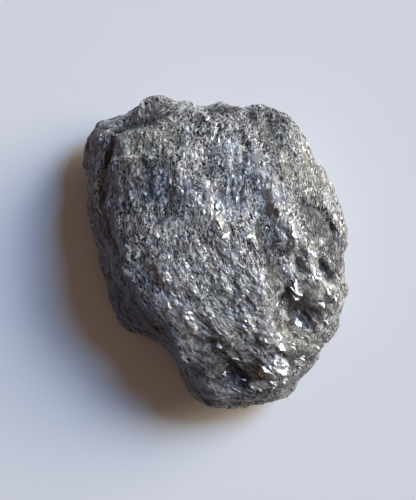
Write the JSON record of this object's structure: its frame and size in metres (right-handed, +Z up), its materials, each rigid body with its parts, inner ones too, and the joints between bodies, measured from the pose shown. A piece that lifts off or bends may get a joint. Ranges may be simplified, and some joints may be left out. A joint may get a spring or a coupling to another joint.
{
  "type": "rough diamond specimen",
  "caption": "Palm-sized rough stone, opaque, silver-grey and scaly, with a broad upper face, ledged flanks and a flat underside to rest on.",
  "frame": {"origin": "centre of the box of the stone's outline seen from above, on the surface that it rests on", "axes": "+Z up out of the broad upper face, +Y along the stone's longer side towards its broad end, +X along its shorter side"},
  "size_m": [0.0394, 0.046, 0.018],
  "materials": {
    "stone": "natural broken surface of glittering mica scales"
  },
  "bodies": {
    "root": {"rough_stone": "stone"}
  },
  "joints": []
}
